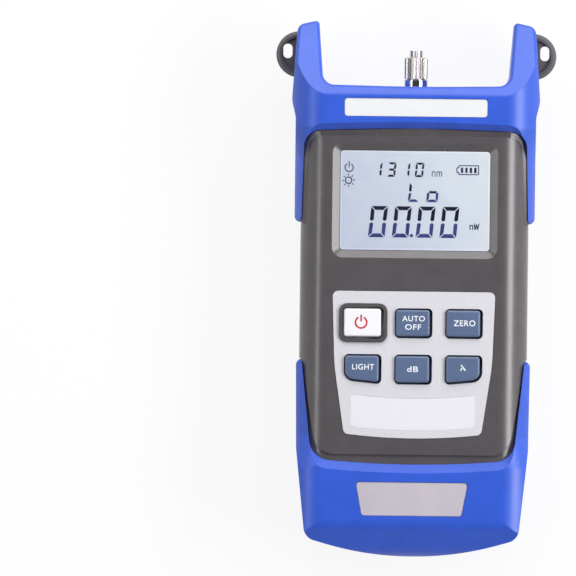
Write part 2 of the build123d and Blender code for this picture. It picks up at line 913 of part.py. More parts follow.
def battery_cell(place):
    """One AA cell; the middle one lies the other way round."""
    low = min(corner[1] for corner in bay_corners()) + contact_thickness
    high = max(corner[1] for corner in bay_corners()) - contact_thickness
    x = place * cell_pitch
    if place == 0:
        body = rod_y(x, cell_z, cell_radius, low + cell_nub_length, low + cell_nub_length + cell_length)
        nub = rod_y(x, cell_z, cell_nub_radius, low, low + cell_nub_length)
    else:
        start = high - cell_nub_length - cell_length
        body = rod_y(x, cell_z, cell_radius, start, start + cell_length)
        nub = rod_y(x, cell_z, cell_nub_radius, high - cell_nub_length, high)
    body = fillet(body.edges().filter_by(GeomType.CIRCLE), cell_edge_round)
    return body + nub


def battery_spring(place):
    """A bow of sprung strip under a cell's flat end, open between its two feet."""
    ys = [corner[1] for corner in bay_corners()]
    end = max(ys) - contact_thickness if place == 0 else min(ys) + contact_thickness
    inward = -1 if place == 0 else 1
    half = spring_foot_height / 2
    bow = [
        (0, cell_z - half, spring_bend_radius),
        (spring_length, cell_z - spring_top_height / 2, spring_bend_radius),
        (spring_length, cell_z + spring_top_height / 2, spring_bend_radius),
        (0, cell_z + half, spring_bend_radius),
    ]
    x = place * cell_pitch
    strip = prism_x(bow, x - spring_width / 2, x + spring_width / 2)
    strip -= prism_x(grown(bow, -spring_strip), x - spring_width, x + spring_width)
    strip -= Pos(x, 0, cell_z) * Box(2 * spring_width, spring_length, spring_foot_gap)
    return Pos(0, end, 0) * (strip if inward > 0 else mirror(strip, Plane.XZ))


def contact_plate(high_end):
    """A sprung steel plate across one end of the battery bay."""
    ys = [corner[1] for corner in bay_corners()]
    y = max(ys) - contact_thickness / 2 if high_end else min(ys) + contact_thickness / 2
    return Pos(0, y, cell_z) * Box(2 * contact_half_width, contact_thickness, contact_height)


def main_board():
    """The circuit board, with room at its corners for the screw posts."""
    neck = board_top_y - board_neck_length
    foot = board_low_y + board_foot_length
    outline = mirrored(
        [
            (board_neck_half_width, board_low_y, board_corner),
            (board_neck_half_width, foot, 0),
            (board_half_width, foot, 0),
            (board_half_width, neck, 0),
            (board_neck_half_width, neck, 0),
            (board_neck_half_width, board_top_y, board_corner),
        ]
    )
    board = prism_z(outline, board_low_z, board_top_z)
    for x, y in board_posts():
        board -= rod_z(x, y, board_hole_radius, board_low_z - overrun, board_top_z + overrun)
    return board


def board_screw(x, y):
    """A small pan head screw, head towards the back."""
    head = rod_z(x, y, board_screw_head_radius, board_low_z - board_screw_head, board_low_z)
    return head + rod_z(x, y, board_screw_radius, board_low_z, board_low_z + board_screw_length)


def housing_screw(x, y):
    """A pan head screw in its well, with a cross slot."""
    seat = back_z + screw_well_depth
    screw = rod_z(x, y, screw_head_radius, seat - screw_head_height, seat)
    screw += rod_z(x, y, screw_radius, seat, seat + screw_length)
    slot = Box(2 * screw_head_radius - screw_slot_width, screw_slot_width, 2 * screw_slot_depth)
    for turn in (0, 90):
        screw -= Pos(x, y, seat - screw_head_height) * Rot(0, 0, turn) * slot
    return screw


def keypad_mat():
    """Silicone mat on the board, with a dome under each key."""
    reach = key_column_pitch + key_width / 2 + mat_margin
    low = key_lower_y - key_height / 2 - mat_margin
    high = key_upper_y + key_height / 2 + mat_margin
    corners = box_corners(0, (low + high) / 2, 2 * reach, high - low, key_corner)
    mat = prism_z(corners, board_top_z, board_top_z + mat_thickness)
    height = mat_dome_top_z - board_top_z - mat_thickness
    for name, x, y, width, depth, stand, wide in key_table():
        dome = Cone(mat_dome_radius, mat_dome_top_radius, height)
        mat += Pos(x, y, mat_dome_top_z - height / 2) * dome
    return mat


def panel_corners():
    """Outline of the LCD panel and its backlight."""
    return grown(lens_corners(), panel_margin)


def lcd_bracket():
    """Frame that holds the LCD panel and backlight on the board."""
    inside = grown(panel_corners(), lug_seat_gap)
    top = board_top_z + bracket_height
    return prism_z(grown(inside, bracket_wall), board_top_z, top) - prism_z(inside, board_top_z, top)


def keypad_overlay():
    """Thin light grey sheet with the key holes and the bare pressed window."""
    sheet = prism_z(overlay_corners(), overlay_low_z, overlay_top_z)
    for name, x, y, width, height, stand, wide in key_table():
        hole = grown(key_corners(x, y, width, height, wide), key_gap)
        sheet -= prism_z(hole, overlay_low_z - overrun, overlay_top_z + overrun)
    room = grown(power_collar(), lug_seat_gap)
    sheet -= prism_z(room, overlay_low_z - overrun, overlay_top_z + overrun)
    low = overlay_top_z - overlay_window_depth
    return sheet - prism_z(overlay_window_corners(), low, overlay_top_z + overrun)


def socket_rear():
    """The y of the adapter socket's rear face, inside the housing."""
    return housing_top_y - housing_rebate - housing_wall - socket_flange_thickness


def adapter_socket():
    """Turned socket: flange inside the housing, polished collar, threaded spigot, ferrule hole."""
    rear = socket_rear()
    collar_end = cap_top_y + socket_collar_top
    socket = rod_y(0, middle_z, socket_flange_radius, rear, rear + socket_flange_thickness)
    socket += rod_y(0, middle_z, socket_radius, rear, collar_end)
    socket += rod_y(0, middle_z, spigot_radius, collar_end, collar_end + spigot_length)
    socket -= rod_y(0, middle_z, ferrule_hole_radius, rear - overrun, half_length)
    seat = detector_can_radius + adapter_running_gap
    return socket - rod_y(0, middle_z, seat, rear - overrun, rear + detector_seat_depth)


def photodiode():
    """Round metal can in the rear of the socket, with its rim and three pins."""
    front = socket_rear() + detector_seat_depth
    rear = front - detector_can_length
    can = rod_y(0, middle_z, detector_can_radius, rear, front)
    can += rod_y(0, middle_z, detector_rim_radius, rear - detector_rim_thickness, rear)
    start = rear - detector_rim_thickness
    for i in (-1, 0, 1):
        x = i * detector_pin_spread
        z = middle_z + abs(i) * detector_pin_spread
        can += rod_y(x, z, detector_pin_radius, start - detector_pin_length, start)
    return can


def barrel_low():
    """The y of the knurled barrel's lower face."""
    return cap_top_y + socket_collar_top + barrel_gap


def adapter_barrel():
    """Knurled barrel that screws on the spigot and traps the sleeve under its lip."""
    low = barrel_low()
    high = low + barrel_length
    outer = barrel_radius
    points = []
    for i in range(2 * knurl_count):
        angle = math.pi * i / knurl_count
        radius = outer if i % 2 else outer - knurl_height
        points.append((radius * math.cos(angle), radius * math.sin(angle), 0))
    barrel = Pos(0, 0, middle_z) * prism_y(points, low, high)
    envelope = rod_y(0, middle_z, outer, low, high)
    ends = envelope.edges().filter_by(GeomType.CIRCLE)
    barrel &= chamfer(ends, knurl_end_chamfer)
    bore = spigot_radius + adapter_running_gap
    barrel -= rod_y(0, middle_z, bore, low - overrun, high - barrel_lip)
    return barrel - rod_y(0, middle_z, sleeve_radius + adapter_running_gap, low, high + overrun)


def split_sleeve():
    """Slotted sleeve that guides the ferrule, with a foot under the barrel's lip."""
    low = cap_top_y + socket_collar_top + spigot_length + sleeve_gap
    high = barrel_low() + barrel_length + sleeve_stand
    sleeve = rod_y(0, middle_z, sleeve_radius, low, high)
    sleeve += rod_y(0, middle_z, sleeve_foot_radius, low, low + sleeve_foot_thickness)
    sleeve -= rod_y(0, middle_z, ferrule_hole_radius, low - overrun, high + overrun)
    for i in range(sleeve_slot_count):
        turn = 360 * i / sleeve_slot_count
        slot = Pos(0, 0, sleeve_radius) * Box(sleeve_slot_width, 2 * sleeve_slot_depth, 2 * sleeve_radius)
        sleeve -= Pos(0, high, middle_z) * Rot(0, turn, 0) * slot
    return sleeve


def chip(x, y, width, length, height):
    """A chip on the rear of the board."""
    return prism_z(box_corners(x, y, width, length, 0), board_low_z - height, board_low_z)


def build_parts():
    """Every node of the meter by name."""
    nodes = {
        "top_cap": top_cap(),
        "bottom_boot": bottom_boot(),
        "left_strap_lug": strap_lug(-1),
        "right_strap_lug": strap_lug(1),
        "front_shell": front_shell(),
        "rear_shell": rear_shell(),
        "battery_door": battery_door(),
        "display_lens": prism_z(lens_corners(), lens_low_z, lens_top_z),
        "lcd_panel": prism_z(panel_corners(), panel_low_z, inner_front_z),
        "backlight_panel": prism_z(panel_corners(), board_top_z, panel_low_z),
        "lcd_bracket": lcd_bracket(),
        "keypad_overlay": keypad_overlay(),
        "keypad_mat": keypad_mat(),
        "top_name_plate": bumper_plate(plate_corners()),
        "bottom_name_plate": bumper_plate(foot_plate_corners()),
        "main_board": main_board(),
        "processor_chip": chip(
            0, board_low_y + processor_above_foot, processor_width, processor_width, processor_height
        ),
        "amplifier_chip": chip(
            0, board_top_y - amplifier_below_top, amplifier_width, amplifier_length, amplifier_height
        ),
        "photodiode_can": photodiode(),
        "adapter_socket": adapter_socket(),
        "adapter_barrel": adapter_barrel(),
        "split_sleeve": split_sleeve(),
        "battery_springs": Compound([battery_spring(place) for place in (-1, 0, 1)]),
        "battery_contacts": Compound([contact_plate(False), contact_plate(True)]),
        "board_screws": Compound([board_screw(x, y) for x, y in board_posts()]),
        "housing_screws": Compound([housing_screw(x, y) for x, y in screw_places()]),
    }
    for name, x, y, width, height, stand, wide in key_table():
        nodes[name] = key_cap(x, y, width, height, stand, wide)
    for name, place in (("left_cell", -1), ("middle_cell", 0), ("right_cell", 1)):
        nodes[name] = battery_cell(place)
    return nodes


os.makedirs("parts", exist_ok=True)
for node_name, node_shape in build_parts().items():
    save(node_name, node_shape)
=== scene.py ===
"""The looks of a handheld optical power meter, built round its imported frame.

The meter lies on its back: +Z comes out of its front face, +Y points at its optical adapter and
+X is right in front view. Sizes below are in millimetres unless a name says otherwise.
"""

import json
import logging
import math
from dataclasses import dataclass, field
from enum import Enum

import bpy
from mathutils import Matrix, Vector

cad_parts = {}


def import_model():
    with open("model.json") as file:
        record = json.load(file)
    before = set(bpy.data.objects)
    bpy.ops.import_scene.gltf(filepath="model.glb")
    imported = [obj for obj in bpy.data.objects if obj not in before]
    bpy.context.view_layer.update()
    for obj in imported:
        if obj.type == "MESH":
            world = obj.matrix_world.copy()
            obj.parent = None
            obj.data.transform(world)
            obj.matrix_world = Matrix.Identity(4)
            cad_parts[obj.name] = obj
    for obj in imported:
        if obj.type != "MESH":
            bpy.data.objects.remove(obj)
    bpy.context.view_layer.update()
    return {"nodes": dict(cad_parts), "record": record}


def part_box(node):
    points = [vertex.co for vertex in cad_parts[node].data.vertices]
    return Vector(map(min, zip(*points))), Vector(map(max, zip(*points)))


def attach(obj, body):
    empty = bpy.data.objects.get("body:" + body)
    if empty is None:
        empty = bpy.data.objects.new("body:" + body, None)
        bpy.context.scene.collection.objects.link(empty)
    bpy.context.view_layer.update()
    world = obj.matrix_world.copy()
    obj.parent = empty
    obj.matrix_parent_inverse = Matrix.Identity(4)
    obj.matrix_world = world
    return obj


LOG = logging.getLogger("meter")
MM = 0.001

Point = tuple[float, float]
Spot = tuple[float, float, float]
Stroke = tuple[Point, Point, float]
Colour = tuple[float, float, float, float]
Tree = bpy.types.NodeTree
Socket = bpy.types.NodeSocket


def linear(hex_colour: str) -> Colour:
    """Turn an sRGB hex colour to Blender's linear values.

    Args:
        hex_colour: The colour as "#rrggbb".

    Returns:
        Linear red, green, blue and an alpha of 1.
    """
    values = [int(hex_colour[i : i + 2], 16) / 255 for i in (1, 3, 5)]
    light = [v / 12.92 if v <= 0.04045 else ((v + 0.055) / 1.055) ** 2.4 for v in values]
    return (*light, 1.0)


def add_node(
    tree: Tree, kind: str, inputs: dict | None = None, settings: dict | None = None
) -> bpy.types.Node:
    """Add one shader node with its settings, input values and links.

    Args:
        tree: The node tree that the node joins.
        kind: The node's type name.
        inputs: Socket values or output sockets by input name or index.
        settings: Properties of the node by name.

    Returns:
        The new node.
    """
    node = tree.nodes.new(kind)
    for name, value in (settings or {}).items():
        setattr(node, name, value)
    for name, value in (inputs or {}).items():
        if isinstance(value, bpy.types.NodeSocket):
            tree.links.new(value, node.inputs[name])
        else:
            node.inputs[name].default_value = value
    return node


def empty_tree(owner: bpy.types.Material | bpy.types.World) -> Tree:
    """Give a material or a world its own node tree, with nothing in it yet.

    Args:
        owner: The material or world.

    Returns:
        Its node tree.
    """
    owner.use_nodes = True
    owner.node_tree.nodes.clear()
    return owner.node_tree


def ramp_between(tree: Tree, factor: Socket, low: Colour, high: Colour, span: Point) -> Socket:
    """Blend two colours by a factor.

    Args:
        tree: The node tree.
        factor: The output that drives the blend.
        low: Colour at the span's start.
        high: Colour at the span's end.
        span: The factors that give low and high.

    Returns:
        The blended colour's output.
    """
    spread = add_node(tree, "ShaderNodeMapRange", {
        "Value": factor, "From Min": span[0], "From Max": span[1]})
    mix = add_node(tree, "ShaderNodeMix", {0: spread.outputs[0], 6: low, 7: high},
                   {"data_type": "RGBA"})
    return mix.outputs[2]


def arc_points(centre: Point, radius: float, start: float, end: float, steps: int) -> list[Point]:
    """Trace an arc in equal steps.

    Args:
        centre: The arc's centre.
        radius: Its radius.
        start: Its first angle in degrees, anticlockwise from +X.
        end: Its last angle in degrees.
        steps: How many steps it has.

    Returns:
        The points from start to end, both included.
    """
    turns = [math.radians(start + (end - start) * i / steps) for i in range(steps + 1)]
    return [(centre[0] + radius * math.cos(t), centre[1] + radius * math.sin(t)) for t in turns]


def mesh_of(name: str, spots: list[Spot], faces: list[tuple[int, ...]]) -> bpy.types.Mesh:
    """Make a mesh in metres.

    Args:
        name: The mesh's name.
        spots: Its corners in millimetres.
        faces: The corners of each face by number.

    Returns:
        The mesh.
    """
    mesh = bpy.data.meshes.new(name)
    mesh.from_pydata([(x * MM, y * MM, z * MM) for x, y, z in spots], [], faces)
    mesh.update()
    return mesh


def link_object(name: str, data: bpy.types.ID) -> bpy.types.Object:
    """Put a new object for a mesh, text, light or camera into the scene.

    Args:
        name: The object's name.
        data: What the object shows.

    Returns:
        The new object.
    """
    item = bpy.data.objects.new(name, data)
    bpy.context.scene.collection.objects.link(item)
    return item


@dataclass(frozen=True)
class Finish:
    """A real material and how its surface was made."""

    name: str
    colour: str
    second: str
    roughness: float
    ior: float = 1.5
    metallic: float = 0.0
    grain_mm: float = 0.4
    grain_height_mm: float = 0.004
    mottle_mm: float = 9.0
    mottle_span: Point = (0.35, 0.7)
    wear_mm: float = 22.222222
    wear_share: float = 0.12
    soft_edge_mm: float = 0.25

    def build(self) -> bpy.types.Material:
        """Build the material.

        Returns:
            A node material named for this finish.
        """
        material = bpy.data.materials.new(self.name)
        tree = empty_tree(material)
        place = add_node(tree, "ShaderNodeTexCoord").outputs["Object"]
        shader = add_node(tree, "ShaderNodeBsdfPrincipled", {
            "Metallic": self.metallic, "IOR": self.ior, "Base Color": self.base(tree, place),
            "Roughness": self.gloss(tree, place), "Normal": self.relief(tree, place)})
        self.extra(tree, place, shader)
        add_node(tree, "ShaderNodeOutputMaterial", {"Surface": shader.outputs[0]})
        return material

    def base(self, tree: Tree, place: Socket) -> Socket:
        """Colour with the faint clouding of real stock.

        Args:
            tree: The node tree.
            place: Object coordinates.

        Returns:
            The colour output.
        """
        cloud = add_node(tree, "ShaderNodeTexNoise", {
            "Vector": place, "Scale": 1 / (self.mottle_mm * MM), "Detail": 3.0})
        first, second = linear(self.colour), linear(self.second)
        return ramp_between(tree, cloud.outputs[0], first, second, self.mottle_span)

    def gloss(self, tree: Tree, place: Socket) -> Socket:
        """Roughness that varies a little, as handling leaves it.

        Args:
            tree: The node tree.
            place: Object coordinates.

        Returns:
            The roughness output.
        """
        wear = add_node(tree, "ShaderNodeTexNoise", {
            "Vector": place, "Scale": 1 / (self.wear_mm * MM), "Detail": 4.0})
        spread = add_node(tree, "ShaderNodeMapRange", {
            "Value": wear.outputs[0], "To Min": self.roughness * (1 - self.wear_share),
            "To Max": self.roughness * (1 + self.wear_share)})
        return spread.outputs[0]

    def relief(self, tree: Tree, place: Socket) -> Socket:
        """Fine relief of the surface over softly broken edges.

        Args:
            tree: The node tree.
            place: Object coordinates.

        Returns:
            The normal output.
        """
        soft = add_node(tree, "ShaderNodeBevel", {"Radius": self.soft_edge_mm * MM},
                        {"samples": 4})
        grain = add_node(tree, "ShaderNodeTexNoise", {
            "Vector": place, "Scale": 1 / (self.grain_mm * MM), "Detail": 2.0})
        bump = add_node(tree, "ShaderNodeBump", {
            "Height": grain.outputs[0], "Distance": self.grain_height_mm * MM, "Strength": 1.0,
            "Normal": soft.outputs[0]})
        return bump.outputs[0]

    def extra(self, tree: Tree, place: Socket, shader: bpy.types.Node) -> None:
        """Leave the plain finish as it is."""


@dataclass(frozen=True)
class BacklitGlassWithPaintedLight(Finish):
    """The liquid crystal cell: pale glass, lit from behind, with painted light making it brighter
    towards its upper right.
    """

    half_width: float = 26.6
    low_y: float = 13.8
    high_y: float = 49.1
    height_share: float = 0.35
    glow: float = 1.0
    glow_span: Point = (0.1, 1.2)
    dim: str = "#c6cde0"
    bright: str = "#e0e7ee"

    def extra(self, tree: Tree, place: Socket, shader: bpy.types.Node) -> None:
        """Add the backlight's glow, with painted light that brightens it towards the upper right.

        Args:
            tree: The node tree.
            place: Object coordinates.
            shader: The shader that glows.
        """
        split = add_node(tree, "ShaderNodeSeparateXYZ", {"Vector": place})
        across = add_node(tree, "ShaderNodeMapRange", {
            "Value": split.outputs[0], "From Min": -self.half_width * MM,
            "From Max": self.half_width * MM})
        up = add_node(tree, "ShaderNodeMapRange", {
            "Value": split.outputs[1], "From Min": self.low_y * MM, "From Max": self.high_y * MM,
            "To Max": self.height_share})
        both = add_node(tree, "ShaderNodeMath", {0: across.outputs[0], 1: up.outputs[0]},
                        {"operation": "ADD"})
        # Painted light: the glow runs from the dim colour at the lower left to the bright one at
        # the upper right, the side the softboxes light
        dim, bright = linear(self.dim), linear(self.bright)
        glow = ramp_between(tree, both.outputs[0], dim, bright, self.glow_span)
        tree.links.new(glow, shader.inputs["Emission Color"])
        shader.inputs["Emission Strength"].default_value = self.glow


@dataclass(frozen=True)
class ClearAcrylic(Finish):
    """Cast acrylic sheet: clear, with a faint reflection."""

    def extra(self, tree: Tree, place: Socket, shader: bpy.types.Node) -> None:
        """Let light through the sheet."""
        shader.inputs["Transmission Weight"].default_value = 1.0


@dataclass(frozen=True)
class PrintedFilm(Finish):
    """Polycarbonate film printed with silver ink, whose flakes give a fine sparkle.

    Real flakes are far finer than half a millimetre, and are drawn as coarse as they show.
    """

    flake_mm: float = 0.5
    flake_span: Point = (0.36, 0.62)

    def base(self, tree: Tree, place: Socket) -> Socket:
        """Silver ink with fine light and dark flakes.

        Args:
            tree: The node tree.
            place: Object coordinates.

        Returns:
            The colour output.
        """
        flakes = add_node(tree, "ShaderNodeTexNoise", {
            "Vector": place, "Scale": 1 / (self.flake_mm * MM), "Detail": 5.0, "Roughness": 0.8})
        dark, light = linear(self.second), linear(self.colour)
        return ramp_between(tree, flakes.outputs[0], dark, light, self.flake_span)


class Materials(Enum):
    """Every finish of the meter by its slot in the record."""

    # Injection moulded ABS with a spark-eroded satin skin: a saturated blue with soft highlights
    blue_plastic = Finish(
        "moulded satin blue ABS", "#2f58cb", "#2c54c3", 0.38, 1.53, grain_mm=0.5)
    # Injection moulded ABS, sprayed satin: a warm dark grey that goes pale at low angles
    grey_plastic = Finish(
        "sprayed satin grey ABS", "#545053", "#4f4b4e", 0.27, 1.58, grain_mm=0.35)
    # Moulded nylon, coloured through: dark grey, duller than the housing
    black_plastic = Finish(
        "moulded grey nylon", "#5b5659", "#555053", 0.36, 1.53, grain_mm=0.4)
    # Cast acrylic sheet: clear and glossy
    clear_lens = ClearAcrylic(
        "cast clear acrylic", "#ffffff", "#f8fbff", 0.02, 1.49,
        grain_height_mm=0.0002, soft_edge_mm=0.3)
    # Liquid crystal glass, lit from behind: pale blue-white, with painted light brighter towards
    # the upper right
    lcd_glass = BacklitGlassWithPaintedLight(
        "backlit liquid crystal glass with painted light", "#3a3d45", "#363941", 0.25, 1.52, grain_height_mm=0.0005)
    # Moulded white ABS, for the bracket and the light guide: an even dull white
    white_plastic = Finish("moulded white ABS", "#dedede", "#d6d6d6", 0.45, 1.53)
    # Polycarbonate film, printed with silver ink: light grey with a fine sparkle
    overlay_grey = PrintedFilm(
        "silver printed polycarbonate", "#d4d3d9", "#c9c8ce", 0.42, 1.58,
        grain_mm=0.5, grain_height_mm=0.002, soft_edge_mm=0.2)
    # Moulded silicone: grey and dull
    silicone = Finish("moulded silicone rubber", "#a9a9ac", "#a0a0a4", 0.6, 1.41)
    # Gloss white laminate: an even, almost white face
    plate_white = Finish(
        "white laminate plate", "#e0e2e4", "#dddfe1", 0.3, 1.5, grain_height_mm=0.001)
    # Anodised aluminium under a satin lacquer: pale warm silver that hardly mirrors
    plate_silver = Finish(
        "satin anodised aluminium plate", "#cbc4cf", "#c5beca", 0.42, 1.5,
        metallic=0.25, grain_mm=0.3, grain_height_mm=0.002)
    # Glass-fibre laminate under green solder resist: green, half gloss
    board_green = Finish("solder resist on glass laminate", "#1d6b3a", "#195f34", 0.35, 1.55)
    # Moulded epoxy: black, dull
    chip_black = Finish("moulded black epoxy", "#1f1f20", "#1a1a1b", 0.6, 1.55)
    # Nickel-plated brass, turned and then blasted: warm silver with wide, soft reflections
    nickel = Finish(
        "nickel-plated blasted brass", "#cfc8bf", "#c5beb5", 0.32,
        metallic=1.0, grain_mm=0.25, grain_height_mm=0.002, soft_edge_mm=0.06)
    # Chrome-plated brass, turned and polished: a mirror
    chrome_plate = Finish(
        "polished chrome plate", "#d6d6d8", "#d2d2d4", 0.08,
        metallic=1.0, grain_height_mm=0.0003, soft_edge_mm=0.1)
    # Spring steel strip, nickel plated: bright
    spring_steel = Finish(
        "nickel-plated spring steel", "#c9c9c9", "#c0c0c0", 0.3,
        metallic=1.0, grain_height_mm=0.001)
    # Zinc-plated steel: pale grey with soft reflections
    zinc_steel = Finish(
        "zinc-plated steel", "#bfc1c4", "#b4b6ba", 0.34, metallic=1.0, grain_height_mm=0.001)
    # Film shrunk over a steel can: plain metallic grey
    cell_jacket = Finish("shrink-wrapped cell jacket", "#8f9296", "#878a8e", 0.3, metallic=0.5)
    # Moulded polycarbonate, coloured through: white with a soft gloss
    key_white = Finish(
        "moulded white polycarbonate", "#edecf0", "#e8e7eb", 0.32, 1.58,
        grain_height_mm=0.001, soft_edge_mm=0.3)
    # Moulded polycarbonate, coloured through: blue-grey with brighter edges
    key_blue = Finish(
        "moulded blue-grey polycarbonate", "#586a8b", "#546584", 0.34, 1.58,
        grain_height_mm=0.001, soft_edge_mm=0.3)


class Inks(Enum):
    """Print and liquid crystal colours that have no node of their own."""

    # Liquid crystal where the drive is full: dark navy
    full_segment = Finish(
        "driven liquid crystal, full", "#050e40", "#070f44", 0.4, grain_height_mm=0.0)
    # Liquid crystal, half driven: lighter blue
    half_segment = Finish(
        "driven liquid crystal, half", "#3e4d98", "#37458d", 0.4, grain_height_mm=0.0)
    # Liquid crystal in thin icon lines: grey-blue
    icon_segment = Finish(
        "driven liquid crystal, thin", "#3f467e", "#3c4379", 0.4, grain_height_mm=0.0)
    # Screen-printed white ink: a dull white
    white_print = Finish(
        "screen-printed white ink", "#f2f4f8", "#eceef4", 0.5, grain_height_mm=0.0005)
    # Silver film printed once more with white: paler than the overlay
    window_print = PrintedFilm(
        "white over silver polycarbonate film", "#e2e1e9", "#dad9e1", 0.42, 1.58,
        grain_mm=0.5, grain_height_mm=0.002)
    # Screen-printed red ink: a dull red
    red_print = Finish(
        "screen-printed red ink", "#c41a24", "#bd1822", 0.5, grain_height_mm=0.0005)


class Dresser:
    """Gives meshes their materials and adds new pieces to the meter."""

    def __init__(self, nodes: dict[str, bpy.types.Object], record: dict) -> None:
        """Keep the frame's nodes and build each material once.

        Args:
            nodes: The frame's CAD nodes by name.
            record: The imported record.
        """
        self.nodes = nodes
        self.slots = {part["node"]: part["material_slot"] for part in record["subparts"]}
        self.materials = {item.name: item.value.build() for item in (*Materials, *Inks)}

    def dress(self, *names: str) -> None:
        """Give CAD nodes the finish of their slot.

        Args:
            names: The nodes' names.
        """
        for name in names:
            node = self.nodes[name]
            node.data.materials.clear()
            node.data.materials.append(self.materials[self.slots[name]])
            LOG.info("dressed %s in %s", name, self.slots[name])

    def add_piece(
        self, mesh: bpy.types.Mesh, finish: Materials | Inks, slot: str, body: str
    ) -> None:
        """Add a new piece that rides on a body and takes its mesh's name.

        Args:
            mesh: Its mesh, in the row frame.
            finish: Its finish.
            slot: The record's slot that it belongs to; not used.
            body: The body that it rides on.
        """
        piece = link_object(mesh.name, mesh)
        mesh.materials.clear()
        mesh.materials.append(self.materials[finish.name])
        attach(piece, body)
        LOG.info("added %s to %s", mesh.name, body)


@dataclass
class FlatPiece:
    """Thin flat shapes with one low and one high level, joined in one mesh."""

    low: float
    high: float
    arc_step_deg: float = 9.0
    arc_steps_least: int = 6
    disc_steps: int = 24
    power_ring_deg: Point = (118.0, 422.0)
    spots: list[Spot] = field(default_factory=list)
    faces: list[tuple[int, ...]] = field(default_factory=list)

    def outline(self, corners: list[Point]) -> None:
        """Add one shape from its anticlockwise corners.

        Args:
            corners: The corners in the front view.
        """
        start, count = len(self.spots), len(corners)
        self.spots += [(x, y, z) for z in (self.low, self.high) for x, y in corners]
        self.faces.append(tuple(range(start + count, start + 2 * count)))
        self.faces.append(tuple(reversed(range(start, start + count))))
        for i in range(count):
            j = (i + 1) % count
            self.faces.append((start + i, start + j, start + count + j, start + count + i))

    def line(self, a: Point, b: Point, width: float) -> None:
        """Add a straight stroke.

        Args:
            a: One end.
            b: The other end.
            width: The stroke's width.
        """
        along = Vector((b[0] - a[0], b[1] - a[1])).normalized() * width / 2
        side = Vector((-along.y, along.x))
        ends = [Vector(a) - side, Vector(b) - side, Vector(b) + side, Vector(a) + side]
        self.outline([tuple(end) for end in ends])

    def band(self, inner: list[Point], outer: list[Point]) -> None:
        """Fill between two lines with as many points as each other.

        Args:
            inner: The line on the left of the way along.
            outer: The line on its right.
        """
        for i in range(len(inner) - 1):
            self.outline([inner[i], outer[i], outer[i + 1], inner[i + 1]])

    def arc(self, centre: Point, radius: float, width: float, start: float, end: float) -> None:
        """Add a curved stroke.

        Args:
            centre: The arc's centre.
            radius: The radius of its middle line.
            width: The stroke's width.
            start: Its first angle in degrees, anticlockwise from +X.
            end: Its last angle in degrees.
        """
        steps = max(self.arc_steps_least, round((end - start) / self.arc_step_deg))
        self.band(arc_points(centre, radius - width / 2, start, end, steps),
                  arc_points(centre, radius + width / 2, start, end, steps))

    def disc(self, centre: Point, radius: float) -> None:
        """Add a round dot.

        Args:
            centre: The dot's centre.
            radius: Its radius.
        """
        self.outline(arc_points(centre, radius, 0, 360, self.disc_steps)[:-1])

    def power_sign(self, centre: Point, radius: float, ring: float, bar: Stroke) -> None:
        """Add the power sign, an open ring with an upright bar.

        Args:
            centre: The ring's centre.
            radius: The radius of the ring's middle line.
            ring: The ring's width.
            bar: The bar's foot and head, as seen from the centre, and its width.
        """
        foot, head, width = bar
        self.arc(centre, radius, ring, *self.power_ring_deg)
        self.line((centre[0] + foot[0], centre[1] + foot[1]),
                  (centre[0] + head[0], centre[1] + head[1]), width)

    def mesh(self, name: str) -> bpy.types.Mesh:
        """Join all the shapes in one mesh.

        Args:
            name: The mesh's name.

        Returns:
            The mesh, in metres.
        """
        return mesh_of(name, self.spots, self.faces)


class Segment(Enum):
    """The bars of a seven-bar digit."""

    TOP = "a"
    UPPER_RIGHT = "b"
    LOWER_RIGHT = "c"
    BOTTOM = "d"
    LOWER_LEFT = "e"
    UPPER_LEFT = "f"
    MIDDLE = "g"


UPPER_BARS = (Segment.TOP, Segment.UPPER_LEFT, Segment.UPPER_RIGHT)


@dataclass(frozen=True)
class DigitSize:
    """The size of a seven-bar digit, the width of its bars and the gap between them."""

    width: float
    height: float
    bar: float
    gap: float


@dataclass
class Digit:
    """One slanted seven-bar digit of the display."""

    x: float
    y: float
    size: DigitSize
    slant: float = 0.103

    def lean(self, corners: list[Point]) -> list[Point]:
        """Return corners placed on the display and leaned to the right."""
        return [(self.x + x + self.slant * y, self.y + y) for x, y in corners]

    def corners(self, segment: Segment) -> list[Point]:
        """Outline one bar, mitred where it meets its neighbours.

        Args:
            segment: The bar.

        Returns:
            Its corners in the front view, anticlockwise.
        """
        # Width, height, bar width, half a gap and the height of the middle
        w, h, t, g = self.size.width, self.size.height, self.size.bar, self.size.gap / 2
        m = h / 2
        left = {
            Segment.LOWER_LEFT: [
                (0, g), (t - g / 2, t + g / 2), (t, m - t / 2), (t / 2, m - g), (0, m - t / 2)],
            Segment.UPPER_LEFT: [
                (0, m + t / 2), (t / 2, m + g), (t, m + t / 2), (t - g / 2, h - t - g / 2),
                (0, h - g)],
        }
        if segment in left:
            return self.lean(left[segment])
        if segment in (Segment.LOWER_RIGHT, Segment.UPPER_RIGHT):
            lower = segment is Segment.LOWER_RIGHT
            twin = Segment.LOWER_LEFT if lower else Segment.UPPER_LEFT
            return self.lean([(w - x, y) for x, y in reversed(left[twin])])
        if segment is Segment.BOTTOM:
            return self.lean([(g, 0), (w - g, 0), (w - t - g / 2, t), (t + g / 2, t)])
        if segment is Segment.TOP:
            return self.lean([(t + g / 2, h - t), (w - t - g / 2, h - t), (w - g, h), (g, h)])
        return self.lean([(t / 2 + g, m), (t, m - t / 2), (w - t, m - t / 2),
                          (w - t / 2 - g, m), (w - t, m + t / 2), (t, m + t / 2)])

    def draw(self, bars: str, upper: FlatPiece, lower: FlatPiece) -> None:
        """Draw the bars that are on.

        Args:
            bars: Their letters.
            upper: Where the top bar and the upper ones go.
            lower: Where the middle bar and the lower ones go.
        """
        for letter in bars:
            segment = Segment(letter)
            target = upper if segment in UPPER_BARS else lower
            target.outline(self.corners(segment))


